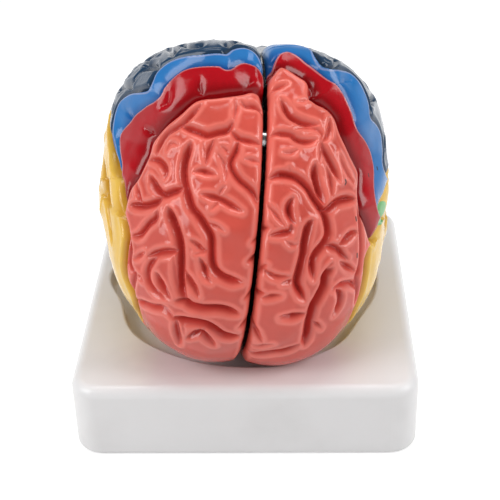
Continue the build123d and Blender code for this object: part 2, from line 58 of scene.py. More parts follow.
# each fold: how deep, and its line as places around and aside
leftFolds = [
    (1.2, [(71, 0.5), (76.5, 3), (75.5, 6), (73, 8.5), (71, 10.5), (69.5, 13), (66.5, 14), (63.5, 13.5),
           (62, 15.5), (61.5, 18.5), (60, 21.5), (57.5, 24), (54, 25.5), (50, 28.5), (46, 31.5),
           (41.5, 35.5), (37, 35.5), (31, 34.5), (24, 35.5), (20, 38.5), (14, 41), (10, 43)]),
    (1.0, [(79, 2), (82.5, 3), (86, 6), (84.5, 8.5), (80.5, 10.5), (76, 14), (73, 17), (71, 20), (70, 23),
           (67.5, 25.5), (64.5, 28), (60, 31), (57, 36), (56, 42), (53.5, 46.5), (47.5, 48.5), (38.5, 48),
           (32, 47), (25.5, 49), (18, 54.5)]),
    (1.0, [(99, 1), (96, 6), (94, 11), (88, 14.5), (83, 15.5), (78, 16.5), (77.5, 20), (80.5, 24),
           (85.5, 29), (86.5, 33), (85.5, 36), (81, 39), (75.5, 40.5), (72, 42.5), (76.5, 49),
           (76.5, 54.5), (71, 58), (62, 59), (57, 64), (58, 73.5)]),
    (0.8, [(64.5, 1), (65.5, 2.5), (66.5, 5.5)]),
    (1.0, [(60.5, 4), (57.5, 5.5), (55, 7), (54, 9), (53, 12), (53.5, 16)]),
    (0.4, [(62, 13), (60.5, 11), (60, 9)]),
    (0.8, [(47.5, 1), (48.5, 2.5), (48.5, 5.5), (48.5, 7.5), (47, 9), (46.5, 11.5), (47, 14),
           (48, 15.5)]),
    (0.5, [(50.5, 8.5), (51.5, 11), (52, 14), (51.5, 17), (50, 18), (48, 17)]),
    (0.6, [(57, 20), (53, 20.5), (49.5, 19.5), (47.5, 17.5)]),
    (0.9, [(47.5, 17.5), (44.5, 19), (41.5, 21), (38.5, 23), (35.5, 24.5)]),
    (0.5, [(47, 17), (43.5, 17.5), (40.5, 17)]),
    (1.2, [(39.5, 15.5), (36.5, 15.5), (33, 16.5), (30, 17.5), (27, 19)]),
    (0.6, [(39.5, 19.5), (36.5, 21), (33, 21.5), (29.5, 21.5)]),
    (0.5, [(44.5, 24.5), (41, 26.5), (37.5, 29), (35, 31)]),
    (1.1, [(26, 16.5), (25, 18), (24.5, 20), (26.5, 22), (28, 24), (29, 27), (29.5, 31.5)]),
    (0.5, [(42, 5), (42, 7.5), (43.5, 9.5)]),
    (0.5, [(35.5, 7.5), (37.5, 7)]),
    (1.2, [(33.5, 1.5), (35, 4), (35, 7), (34.5, 9.5), (33, 12), (31, 14), (28.5, 15.5), (26, 17.5),
           (23.5, 19.5), (20.5, 20.5), (17.5, 21), (15, 20), (13, 18.5), (11.5, 17), (9.5, 16), (7, 16),
           (4, 16.5)]),
    (1.1, [(28, 8.5), (26, 7.5), (24, 7.5), (21.5, 8.5), (20.5, 9.5)]),
    (0.9, [(20.5, 8.5), (18, 8.5), (17.5, 7), (17, 4.5), (16.5, 2.5)]),
    (1.3, [(21.5, 15), (20, 14), (17.5, 13.5), (14.5, 13), (11.5, 13), (9, 12.5), (6.5, 12), (4, 11.5),
           (2, 11.5), (-0.5, 13), (-2, 14)]),
    (0.7, [(3, 7), (3.5, 9.5), (3, 11)]),
    (1.4, [(6, 22.5), (4.5, 20.5), (1.5, 20.5), (-0.5, 19.5), (-3, 18), (-4.5, 17), (-7.5, 16.5),
           (-10, 16), (-14, 16), (-17.5, 15.5)]),
    (0.9, [(13.5, 19), (13.5, 21), (13, 23), (12, 25), (10, 26.5), (8.5, 28.5)]),
    (0.8, [(8, 25.5), (5.5, 28.5), (3, 32)]),
    (0.9, [(13.5, 25), (15.5, 28), (17, 30), (17.5, 32.5)]),
    (0.8, [(-0.5, 23), (0, 25.5), (-0.5, 29), (-2, 32), (-5.5, 34)]),
    (1.0, [(-1, 24.5), (-3.5, 26.5), (-6, 26.5), (-8, 25.5), (-9.5, 24)]),
    (0.8, [(-9.5, 17), (-11, 18.5), (-12.5, 20)]),
    (0.9, [(-7, 7.5), (-7, 11), (-6.5, 14.5)]),
    (0.7, [(-2, 2), (-1, 4.5), (-0.5, 7)]),
    (0.8, [(-10, 0), (-11.5, 0.5), (-13.5, 2), (-15.5, 3.5)]),
    (0.9, [(-23.5, 1.5), (-22, 4.5), (-20, 7.5), (-19.5, 10), (-18.5, 12), (-17, 14)]),
    (0.6, [(7, 1), (5.5, 3), (4.5, 5.5), (5, 9)]),
    (0.7, [(27, 32.5), (22.5, 34), (17, 34.5), (11.5, 35), (6.5, 35), (2.5, 34.5), (0, 33), (-6, 34.5),
           (-11.5, 33.5)]),
    (0.6, [(93, 24), (87, 24), (79.5, 22)]),
    (0.5, [(73, 24), (76, 26), (77.5, 29)]),
    (1.1, [(-34, 30), (-24, 33.5), (-15.5, 34.5), (-11, 37), (-5.5, 37.5), (-1, 38.5), (4.5, 39), (9.5, 40)]),
    (0.35, [(9.5, 40), (14, 46), (18.5, 50), (22.5, 52.5), (28, 56), (40.5, 63.5), (57, 67), (80, 70)]),
    (1.1, [(80, 70), (104, 68), (128, 61)]),
    (0.8, [(84, 20), (92, 22), (101, 28)]),
    (0.8, [(80, 42), (92, 44), (102, 48)]),
    (0.8, [(76, 60), (92, 58), (108, 60)]),
]
rightFolds = [
    (1.2, [(58, 0), (62, 0), (64, 1.5), (64, 5), (62.5, 7.5), (61.5, 12), (61, 16), (61, 19.5),
           (60.5, 22.5), (59, 25), (56.5, 28.5), (54.5, 33), (51.5, 37), (48, 40.5), (42.5, 41),
           (37, 43.5), (31.5, 45), (27, 48.5), (18.5, 49), (10, 48.5)]),
    (1.0, [(71, 0), (73, 0.5), (74, 3), (74.5, 6.5), (73, 9), (71, 11), (70, 12.5), (71.5, 14.5),
           (72, 18), (73, 22), (73, 25), (72.5, 28), (71, 31.5), (68.5, 34), (67, 35.5), (67, 38.5),
           (68.5, 44), (69, 49), (68.5, 54.5), (68, 59), (63, 61), (49, 59.5), (41.5, 58), (31.5, 59.5)]),
    (1.0, [(78.5, 0), (82, 1.5), (85.5, 4.5), (84.5, 7.5), (81.5, 10.5), (78, 12.5), (78, 16),
           (78.5, 20.5), (81, 25.5), (82, 29.5), (82.5, 33.5), (81, 36.5), (78, 38.5), (75, 40),
           (79.5, 45), (86.5, 49.5), (93, 54), (97, 58.5), (92, 62), (84, 65.5), (68.5, 67), (52, 66),
           (36.5, 61.5)]),
    (0.8, [(57.5, 20), (55.5, 22.5), (53, 25), (51.5, 27), (50.5, 29.5), (49.5, 32.5), (46, 35),
           (42.5, 36), (40.5, 36)]),
    (1.0, [(51, 27), (49.5, 24), (48, 21), (46.5, 18), (47.5, 15.5), (48, 12.5), (49, 11), (51, 10)]),
    (0.8, [(48.5, 11), (47, 9.5), (45.5, 8), (45, 4.5), (44.5, 1)]),
    (0.8, [(58.5, 7.5), (57, 6.5), (57.5, 4), (57, 2), (55.5, 0.5)]),
    (0.5, [(59.5, 9.5), (56.5, 9), (53.5, 9.5), (51.5, 9.5)]),
    (0.9, [(45, 8), (41.5, 8.5), (38.5, 10), (36.5, 10), (34.5, 9), (32, 7), (30, 4), (28, 2),
           (25.5, 1)]),
    (0.6, [(39, 5.5), (38.5, 1)]),
    (1.2, [(44, 23), (40, 24.5), (36, 25), (32, 24.5), (29, 23.5), (25.5, 22), (22, 20.5), (20, 18),
           (17, 15.5), (14.5, 13.5), (11, 13), (7.5, 12.5), (5, 11.5), (3.5, 9.5), (2.5, 6.5),
           (2.5, 3.5)]),
    (0.7, [(45.5, 15.5), (43, 16.5), (40.5, 17.5), (36.5, 17.5)]),
    (0.4, [(44.5, 19), (41.5, 18.5), (38.5, 18.5)]),
    (0.8, [(34, 21), (34.5, 19), (34, 17), (33.5, 14.5)]),
    (0.6, [(42.5, 13), (41.5, 11.5), (39.5, 10.5)]),
    (0.8, [(27, 18), (26.5, 15), (26, 12.5), (25, 10), (24, 8), (23, 5.5)]),
    (0.5, [(26, 12.5), (28.5, 12.5), (30, 11)]),
    (0.9, [(39.5, 39.5), (39, 35.5), (36.5, 32.5), (34, 31), (31.5, 31)]),
    (1.1, [(32, 37.5), (29, 35.5), (26.5, 33), (25, 30.5), (26.5, 28), (27.5, 25.5), (29, 24)]),
    (1.1, [(24.5, 31), (22, 33), (20.5, 36), (19.5, 38.5), (19, 42), (18.5, 44.5)]),
    (0.7, [(29, 44), (24.5, 42), (21, 40), (19.5, 38)]),
    (1.3, [(21, 28), (17.5, 26.5), (14.5, 24.5), (11.5, 23), (8, 22), (5, 21.5), (1.5, 21), (-1, 20.5),
           (-4, 19.5), (-5.5, 18)]),
    (0.9, [(19.5, 32), (16.5, 32), (14, 34.5), (11, 36), (8, 37.5), (6.5, 40.5)]),
    (0.7, [(12.5, 19.5), (11.5, 17.5), (10, 15.5), (10.5, 13.5)]),
    (0.5, [(8.5, 17.5), (9.5, 15.5), (10, 13)]),
    (0.9, [(7.5, 16), (5, 14.5), (2.5, 13.5), (1.5, 12)]),
    (0.8, [(3, 20.5), (1, 18.5), (-1.5, 16), (-3.5, 14.5)]),
    (0.9, [(2.5, 32.5), (5, 29.5), (7, 26), (8, 22)]),
    (0.6, [(-1.5, 38), (0.5, 36), (3.5, 34)]),
    (1.0, [(-1.5, 28.5), (-3.5, 27), (-5.5, 25), (-7, 22.5)]),
    (0.5, [(6, 24), (2.5, 23), (-1, 22), (-4, 20.5)]),
    (1.1, [(-7, 20.5), (-6, 18), (-7, 16.5), (-7, 14), (-6.5, 11.5), (-6, 9.5), (-6, 7), (-6.5, 5),
           (-7, 3)]),
    (0.8, [(-18, 34), (-15.5, 30.5), (-13.5, 27), (-11.5, 24), (-12, 22), (-13, 20.5)]),
    (1.2, [(-13, 20.5), (-12.5, 18), (-12, 15.5), (-11.5, 13), (-11.5, 11), (-12.5, 9), (-14.5, 6.5),
           (-15, 4.5), (-15, 2)]),
    (0.9, [(-13, 19.5), (-16.5, 19), (-20, 18), (-22.5, 17.5)]),
    (0.5, [(-13.5, 17.5), (-16.5, 16.5)]),
    (1.0, [(-18, 15.5), (-15.5, 13.5), (-14.5, 12), (-16, 10.5), (-18.5, 8)]),
    (0.6, [(-14.5, 12), (-12, 11)]),
    (0.7, [(12.5, 46), (8, 44), (3.5, 42), (0, 40), (-4, 40), (-6.5, 38), (-7, 36), (-12.5, 36.5),
           (-16.5, 35)]),
    (0.6, [(-6, 35.5), (-7, 32.5)]),
    (0.8, [(105.5, 27.5), (92, 25.5), (86, 22.5), (84, 19.5), (117, 15.5), (82.5, 12.5), (86.5, 11),
           (94.5, 8.5)]),
    (0.7, [(117, 32), (93, 31), (84.5, 29.5)]),
    (0.7, [(85.5, 29.5), (92.5, 28.5), (105.5, 27.5)]),
    (0.9, [(121.5, 54.5), (105, 52), (96, 49), (95.5, 47), (96.5, 44), (94.5, 41), (88.5, 38), (83, 35)]),
    (0.7, [(111.5, 48.5), (113.5, 44), (110.5, 40), (100.5, 36)]),
    (0.7, [(67, 20.5), (64.5, 21), (62, 20), (61, 19)]),
    (0.5, [(68, 3), (67, 5), (64.5, 6.5)]),
    (0.6, [(66, 31), (62.5, 32), (61.5, 35)]),
    (0.6, [(57.5, 44), (54, 41), (51, 38)]),
    (0.6, [(78.5, 54), (72.5, 52.5), (67.5, 51)]),
    (1.2, [(122.5, 73.5), (117, 77.5), (85.5, 80), (43, 74), (25.5, 69), (13.5, 65), (4.5, 61.5),
           (-2, 56.5), (-6.5, 51.5)]),
    (1.2, [(-34, 31), (-24, 33), (-17.5, 35), (-14, 40), (-9.5, 41.5), (-1, 43), (3.5, 43.5), (7.5, 45.5),
           (10.5, 47.5), (18, 52.5), (23.5, 54.5), (30, 56.5), (36, 60), (47.5, 63.5), (59.5, 66),
           (75, 68.5), (100, 69), (124, 63)]),
    (0.8, [(86, 36), (94, 38), (101, 42)]),
    (0.8, [(90, 49), (101, 50.5), (114, 56)]),
]
# nicks of the edge along the gap, and faint wrinkles
leftNicks = [
    (1.1, [(17.5, -1), (18.5, 1.5)]), (1.0, [(-2, -1), (-0.5, 2)]), (0.9, [(-10, -1), (-12, 1)]),
    (0.6, [(-7.5, 7.5), (-7.5, 10.5), (-6.5, 14.5)]), (0.7, [(4.5, 0), (6.5, 1), (8, 2)]),
    (0.5, [(8.5, 22.5), (5.5, 20.5), (2, 19.5)]), (0.5, [(-19, 1.5), (-17.5, 4), (-16, 6.5)]),
    (0.5, [(25.5, 1), (23, 3.5), (19.5, 6.5)]), (0.5, [(15.5, 7), (14, 9), (14.5, 11)]),
]
rightNicks = [
    (1.2, [(9.5, -1), (8.5, 2)]), (1.0, [(-1.5, -1), (-2.5, 1.5)]), (1.0, [(-10, -1), (-11.5, 2)]),
    (0.8, [(15, -1), (14, 1.5)]), (0.8, [(4, 29), (1, 31), (-3, 32), (-6.5, 30.5), (-8, 27.5), (-8, 24)]),
    (0.5, [(18.5, 17.5), (18, 15), (18, 12.5), (17, 10)]),
    (0.4, [(41.5, 31.5), (44, 31), (45, 29.5), (43.5, 27.5)]),
    (0.5, [(22.5, 14.5), (24.5, 13), (26, 11.5)]), (0.5, [(-6, 12.5), (-7, 11.5), (-5.5, 8)]),
    (0.5, [(40, 14), (37.5, 12), (34.5, 11), (31.5, 11)]),
]
# back, sides and underside, alike on both halves
hiddenFolds = [
    (1.1, [(104, 34), (114, 29), (126, 26), (138, 26), (149, 22)]),
    (0.9, [(108, 4), (112, 11), (109, 18)]),
    (0.9, [(124, 3), (128, 11), (124, 18)]),
    (0.8, [(137, 8), (142, 16)]),
    (1.2, [(151, 2), (154, 10), (150, 18)]),
    (0.9, [(112, 44), (123, 40), (134, 38), (142, 33)]),
    (0.8, [(118, 52), (131, 50), (143, 45)]),
    (0.9, [(166, 8), (172, 16), (169, 27), (160, 34)]),
    (1.0, [(182, 4), (187, 13), (185, 25), (178, 36)]),
    (0.8, [(199, 6), (203, 16), (200, 28)]),
    (0.9, [(152, 44), (163, 42), (173, 46), (184, 46)]),
    (0.8, [(196, 36), (201, 45), (196, 54)]),
    (0.8, [(138, 58), (150, 56), (161, 58)]),
    (0.8, [(-38, 10), (-52, 12), (-66, 12)]),
    (0.8, [(-36, 22), (-50, 26), (-64, 24)]),
    (0.9, [(-92, 44), (-108, 42), (-126, 38)]),
    (0.9, [(-72, 58), (-98, 60), (-124, 54)]),
    (0.7, [(98, 16), (104, 21), (114, 20)]),
    (0.7, [(117, 10), (119, 17), (128, 21), (134, 18)]),
    (0.6, [(131, 3), (133, 10)]),
    (0.8, [(144, 11), (150, 16), (158, 19), (159, 26)]),
    (0.7, [(160, 1), (163, 8), (161, 14)]),
    (0.8, [(175, 5), (179, 14), (176, 24), (169, 30)]),
    (0.8, [(190, 7), (195, 18), (192, 30), (183, 40)]),
    (0.7, [(208, 4), (212, 14), (208, 28)]),
    (0.7, [(205, 37), (211, 46), (205, 56)]),
    (0.7, [(98, 41), (109, 39), (122, 33), (130, 32)]),
    (0.6, [(127, 45), (137, 43), (147, 37)]),
    (0.7, [(127, 56), (139, 53), (151, 49)]),
    (0.7, [(106, 62), (118, 59), (130, 63)]),
    (0.7, [(170, 53), (183, 54), (193, 62)]),
    (0.7, [(153, 64), (166, 61), (178, 66)]),
    (0.6, [(121, 28), (128, 33)]),
    (0.6, [(168, 38), (178, 39)]),
]
# temple, as shares of the half width behind and above the middle, seen from the side
templeReach = 0.84
templeFolds = [
    (1.2, [(-0.61, -0.06), (-0.43, 0.07), (-0.17, 0.13), (0.09, 0.14), (0.38, 0.16), (0.58, 0.25),
           (0.72, 0.36)]),
    (1.0, [(-0.52, -0.26), (-0.29, -0.17), (-0.03, -0.16), (0.23, -0.14), (0.46, -0.07), (0.67, 0.03)]),
    (0.9, [(-0.38, -0.46), (-0.12, -0.39), (0.17, -0.38), (0.43, -0.3), (0.7, -0.2)]),
    (0.7, [(-0.28, 0.12), (-0.3, -0.03)]),
    (0.7, [(0.09, -0.17), (0.06, -0.3)]),
    (0.7, [(0.38, -0.12), (0.35, -0.23)]),
    (0.8, [(0.41, 0.35), (0.52, 0.43), (0.67, 0.46)]),
]

# edges of the painted fields: each line is closed round the ear and the back of the head
leftPaint = dict(
    red=[(71, 0), (72, 1.5), (74, 2), (75.5, 3), (75.5, 4.5), (75, 6), (73.5, 7.5), (71.5, 9), (70, 10.5),
         (69, 12), (68, 13.5), (66, 14), (64, 13.5), (61.5, 12.5), (61.5, 15), (61, 17), (60.5, 19),
         (59.5, 21), (58, 23), (56, 24.5), (53, 25), (51, 26), (49.5, 27.5), (47.5, 29.5), (45, 31),
         (42.5, 33), (40.5, 34.5), (37.5, 35), (34, 34), (30.5, 33.5), (26.5, 34), (23, 34.5), (22, 36),
         (19, 38.5), (15.5, 39.5), (11, 41)],
    blue=[(74, 0), (75, 1.5), (77, 2), (79.5, 3), (82, 4.5), (82.5, 6.5), (81, 8), (78.5, 10), (76, 11.5),
          (73.5, 14), (71.5, 16.5), (70, 19), (69.5, 21.5), (67.5, 23.5), (66, 25), (64, 26.5),
          (61.5, 28.5), (58.5, 30), (56, 32.5), (55.5, 36), (54, 39.5), (51.5, 42.5), (47.5, 45),
          (43, 45.5), (37.5, 44.5), (31.5, 44), (28, 44.5), (24.5, 46), (21.5, 49), (18.5, 50.5)],
    navy=[(99, 0), (96, 6), (94, 11), (88, 14.5), (80.5, 14.5), (77.5, 15.5), (75.5, 17), (75.5, 19.5),
          (77.5, 23), (80.5, 27), (80.5, 30), (79.5, 32.5), (77.5, 34.5), (75, 36.5), (72.5, 38),
          (67.5, 39), (70.5, 44.5), (71, 49.5), (67.5, 52.5), (63, 55), (56.5, 55), (51.5, 58), (51, 66)],
    yellow=[(128, 61), (104, 68), (80, 70), (57, 67), (40.5, 63.5), (28, 56), (22.5, 52), (18.5, 50),
            (14, 46), (10.5, 41.5), (9.5, 39.5), (4.5, 39), (-1, 38.5), (-5.5, 37.5), (-11, 37),
            (-15.5, 34.5), (-24, 33.5)],
)
rightPaint = dict(
    red=[(57, 0), (61, 0), (63.5, 1), (64, 3), (63.5, 5), (62, 7.5), (61, 11), (61, 14), (60.5, 17.5),
         (60.5, 20), (60, 22), (58, 24.5), (56.5, 27), (55.5, 29.5), (54, 32.5), (52, 35.5), (49.5, 38),
         (47, 40), (44.5, 40.5), (41, 39.5), (38, 42), (35, 43.5), (31.5, 44), (29, 45.5), (27, 47.5),
         (23, 48.5), (18.5, 47.5), (14, 47.5), (10, 47.5)],
    blue=[(67.5, 0), (70, 0), (71, 0.5), (72.5, 2.5), (73, 5), (73, 7), (71.5, 9), (69.5, 10.5), (69, 12),
          (69.5, 13), (70.5, 14), (71, 18), (71.5, 22), (71.5, 24.5), (71, 26.5), (70, 29), (69, 31),
          (67.5, 33), (65.5, 34), (64.5, 37), (65.5, 40.5), (65.5, 43), (66, 47), (64.5, 50.5), (65, 55),
          (64, 57.5), (60, 59), (54, 58.5), (46.5, 57.5), (40, 55.5), (35.5, 55.5), (31, 56.5)],
    navy=[(75.5, 0), (77.5, 1), (79.5, 2), (81.5, 4), (82, 6), (81, 8), (79, 10.5), (76, 12), (76.5, 14),
          (76.5, 19), (78, 23.5), (79, 26.5), (79.5, 29), (79.5, 32), (79, 34.5), (78, 36), (75.5, 37),
          (73.5, 38.5), (72.5, 40), (76, 44), (81.5, 48), (85.5, 51.5), (89, 55.5), (87, 58),
          (83.5, 60.5), (78, 62.5), (73, 64), (63.5, 64), (52, 63.5), (41.5, 62), (32, 58)],
    yellow=[(124, 63), (100, 69), (75.5, 68.5), (59.5, 66), (47.5, 63.5), (36, 60), (30, 56.5),
            (23.5, 54.5), (18, 52.5), (14, 50), (10.5, 47.5), (7.5, 45.5), (3.5, 43.5), (-1, 43),
            (-6, 42), (-9.5, 41.5), (-14, 40), (-17, 36), (-24, 33.5)],
)
# the yellow field goes on under the temple, and a green one covers the back of the head
yellowUnder = [(-34, 32), (-50, 28), (-70, 22), (-90, 18), (-110, 14), (-124, 12), (-134, 26), (-148, 40),
               (-164, 48), (-182, 50), (-200, 54), (-220, 60)]
greenField = [(146, 0), (150, 14), (149, 26), (153, 38), (162, 46), (178, 50), (196, 48), (212, 40),
              (226, 26), (236, 12), (238, 0)]
# small printed strokes by the ear side of the left half
leftMarks = [
    [(36, 26.9), (35.2, 27.4), (34.2, 26.9)], [(23, 31.6), (21.6, 31.9)], [(9.6, 32.6), (8.1, 32.7)],
    [(42, 41.6), (40.7, 41.9)], [(51.4, 52.5), (49.9, 53.2)], [(22, 52.5), (20.4, 53)],
]
# the green field shows again in front of the ear, on the left half alone
greenSpot = [(17, 47.5), (20.5, 47.5), (23, 50.5), (26, 54.5), (31, 59), (30, 64), (22, 62), (18.5, 55),
             (17, 50)]

# numbers of the formulas below, in millimetres where they are lengths
farAway = 1e3
tiny = 1e-9
cornerShare = 0.25


def direction(around, aside):
    turn, rise = np.radians(around), np.radians(aside)
    return np.stack([np.sin(rise), -np.cos(rise) * np.cos(turn), np.cos(rise) * np.sin(turn)], axis=-1)


def plainRadius(ways):
    form = brainForm
    x, y, z = ways[..., 0], ways[..., 1], ways[..., 2]
    backShare = 0.5 * (1 + np.tanh(y / form["soften"]))
    topShare = 0.5 * (1 + np.tanh(z / form["soften"]))
    along = form["front"] + (form["back"] - form["front"]) * backShare
    tall = form["lower"] + (form["upper"] - form["lower"]) * topShare
    power = form["square"]
    total = (np.abs(x) / form["halfWidth"]) ** power + (np.abs(y) / along) ** power
    total += (np.abs(z) / tall) ** power
    radius = total ** (-1 / power)
    for around, aside, swell, spread in lobeSwells:
        cosine = ways @ direction(float(around), float(aside))
        angle = np.degrees(np.arccos(np.clip(cosine, -1, 1)))
        radius = radius + swell * np.exp(-(angle / spread) ** 2)
    return radius


def onSurface(ways):
    return ways * plainRadius(ways)[..., None]


def roundOff(corners, times=2):
    chain = np.array(corners, float)
    for _ in range(times):
        near = chain[:-1] * (1 - cornerShare) + chain[1:] * cornerShare
        far = chain[:-1] * cornerShare + chain[1:] * (1 - cornerShare)
        middle = np.stack([near, far], axis=1).reshape(-1, chain.shape[1])
        chain = np.vstack([chain[:1], middle, chain[-1:]])
    return chain


def surfaceLine(pairs):
    angles = np.array(pairs, float)
    return roundOff(onSurface(direction(angles[:, 0], angles[:, 1])))


def templeLine(pairs):
    places = np.array(pairs, float)
    ways = np.column_stack([np.full(len(places), templeReach), places])
    return roundOff(onSurface(ways / np.linalg.norm(ways, axis=1)[:, None]))


def distanceTo(line, points, reach=14.0):
    # distance to a line, and from the line's nearer end, only for points near the line's box
    nearest, fromEnd = np.full(len(points), farAway), np.zeros(len(points))
    low, high = line.min(axis=0) - reach, line.max(axis=0) + reach
    near = np.all((points > low) & (points < high), axis=1)
    some = points[near]
    best, where = np.full(len(some), farAway), np.zeros(len(some))
    run = 0.0
    for start, end in zip(line[:-1], line[1:]):
        step = end - start
        length = max(np.linalg.norm(step), tiny)
        along = np.clip((some - start) @ step / length ** 2, 0, 1)
        gap = np.linalg.norm(some - start - along[:, None] * step, axis=1)
        closer = gap < best
        best = np.where(closer, gap, best)
        where = np.where(closer, run + along * length, where)
        run += length
    nearest[near], fromEnd[near] = best, np.minimum(where, run - where)
    return nearest, fromEnd


def chart(around, aside):
    # a flat map with the ear in the middle
    turn, fromEar = np.radians(around), 90 - np.asarray(aside, float)
    return np.stack([fromEar * np.cos(turn), fromEar * np.sin(turn)], axis=-1)


def insideOf(polygon, places):
    inside = np.zeros(len(places), bool)
    x, y = places[:, 0], places[:, 1]
    for (x0, y0), (x1, y1) in zip(polygon, np.roll(polygon, -1, axis=0)):
        crosses = (y0 > y) != (y1 > y)
        slope = (x1 - x0) / (y1 - y0 if abs(y1 - y0) > tiny else tiny)
        inside ^= crosses & (x < x0 + slope * (y - y0))
    return inside


def fieldEdge(drawn, closing, places, points, most=20.0):
    # distance in millimetres to the drawn edge, positive inside the field
    flat = roundOff(np.array(drawn, float))
    angles = np.vstack([flat, np.array(closing, float).reshape(-1, 2)])
    polygon = chart(angles[:, 0], angles[:, 1])
    sign = np.where(insideOf(polygon, places), 1.0, -1.0)
    line = onSurface(direction(flat[:, 0], flat[:, 1]))
    return sign * np.minimum(distanceTo(line, points)[0], most)


# shared node helpers
bumpDepth = 0.0003
sprayedLook = dict(fineDetail=2.0, slowDetail=3.0, slowShare=3.0)


def newMaterial(name):
    material = bpy.data.materials.new(name)
    material.use_nodes = True
    tree = material.node_tree
    shader = tree.nodes["Principled BSDF"]
    return material, tree, shader


def addNode(tree, kind, **settings):
    node = tree.nodes.new(kind)
    for key, value in settings.items():
        setattr(node, key, value)
    return node


def putIn(tree, node, values):
    for name, value in values.items():
        socket = node.inputs[name]
        if hasattr(value, "is_output"):
            tree.links.new(value, socket)
        else:
            socket.default_value = value


def rippleGroup():
    # fine unevenness of sprayed gloss paint: one height, one slow tone
    look = sprayedLook
    group = bpy.data.node_groups.new("sprayedGloss", "ShaderNodeTree")
    face = group.interface
    face.new_socket("Position", in_out="INPUT", socket_type="NodeSocketVector")
    face.new_socket("Grain", in_out="INPUT", socket_type="NodeSocketFloat")
    face.new_socket("Waviness", in_out="INPUT", socket_type="NodeSocketFloat")
    face.new_socket("Height", in_out="OUTPUT", socket_type="NodeSocketFloat")
    face.new_socket("Tone", in_out="OUTPUT", socket_type="NodeSocketFloat")
    inlet, outlet = addNode(group, "NodeGroupInput"), addNode(group, "NodeGroupOutput")
    place = inlet.outputs["Position"]
    fine = addNode(group, "ShaderNodeTexNoise")
    putIn(group, fine, {"Vector": place, "Scale": inlet.outputs["Grain"], "Detail": look["fineDetail"]})
    slow = addNode(group, "ShaderNodeTexNoise")
    putIn(group, slow, {"Vector": place, "Scale": inlet.outputs["Waviness"], "Detail": look["slowDetail"]})
    share = addNode(group, "ShaderNodeMath", operation="MULTIPLY_ADD")
    putIn(group, share, {0: slow.outputs["Fac"], 1: look["slowShare"], 2: fine.outputs["Fac"]})
    group.links.new(share.outputs[0], outlet.inputs["Height"])
    group.links.new(slow.outputs["Fac"], outlet.inputs["Tone"])
    return group


sprayedGloss = rippleGroup()


def sprayed(tree, finish):
    # the slow tone and the bumped normal of a sprayed finish
    place = addNode(tree, "ShaderNodeTexCoord")
    ripple = addNode(tree, "ShaderNodeGroup", node_tree=sprayedGloss)
    putIn(tree, ripple, {"Position": place.outputs["Object"], "Grain": finish["grain"],
                         "Waviness": finish["waviness"]})
    bump = addNode(tree, "ShaderNodeBump")
    putIn(tree, bump, {"Height": ripple.outputs["Height"], "Strength": finish["bump"], "Distance": bumpDepth})
    return ripple.outputs["Tone"], bump.outputs["Normal"]


def paintMix(tree, below, above, mask):
    # this node's colour sockets are 6 and 7, and its colour output is 2
    mix = addNode(tree, "ShaderNodeMix", data_type="RGBA")
    tree.links.new(mask, mix.inputs["Factor"])
    for slot, value in ((6, below), (7, above)):
        if hasattr(value, "is_output"):
            tree.links.new(value, mix.inputs[slot])
        else:
            mix.inputs[slot].default_value = (*value, 1)
    return mix.outputs[2]


def softRange(tree, value, low, high):
    ramp = addNode(tree, "ShaderNodeMapRange", interpolation_type="SMOOTHSTEP")
    putIn(tree, ramp, {"Value": value, "From Min": low, "From Max": high})
    return ramp.outputs["Result"]


def maskFrom(tree, attribute, limits):
    reader = addNode(tree, "ShaderNodeAttribute", attribute_name=attribute)
    return softRange(tree, reader.outputs["Fac"], *limits)


# paint of the halves
lobePaint = dict(
    # each deep colour is the field's colour in painted shade, laid into the creases and the low front of the
    # ledges
    salmon=(0.62, 0.086, 0.062), salmonRimHighlight=(0.78, 0.165, 0.126), salmonPaintedShade=(0.53, 0.045, 0.036),
    red=(0.42, 0.003, 0.009), redPaintedShade=(0.27, 0.001, 0.004),
    blue=(0.026, 0.180, 0.480), bluePaintedShade=(0.012, 0.095, 0.330),
    navy=(0.020, 0.052, 0.105), navyPaintedShade=(0.009, 0.026, 0.055),
    yellow=(0.80, 0.50, 0.085), yellowPaintedShade=(0.60, 0.31, 0.030),
    green=(0.20, 0.52, 0.20), greenPaintedShade=(0.11, 0.36, 0.11),
    inside=(0.012, 0.010, 0.010), lip=(0.80, 0.66, 0.68), ink=(0.015, 0.014, 0.014),
    foldShadeMask=(0.16, 0.85), rimHighlightMask=(0.05, 0.9), fieldMask=(-0.25, 0.25), lipMask=(0.2, 2.2),
    inkMask=(-0.12, 0.12), gapShadeMask=(0.35, 0.65), toneFrom=(0.3, 0.7), toneTo=(0.94, 1.06),
    grain=1400.0, waviness=90.0, bump=0.06,
    roughness=0.17, specular=0.33, coat=0.18, coatRoughness=0.04,
)


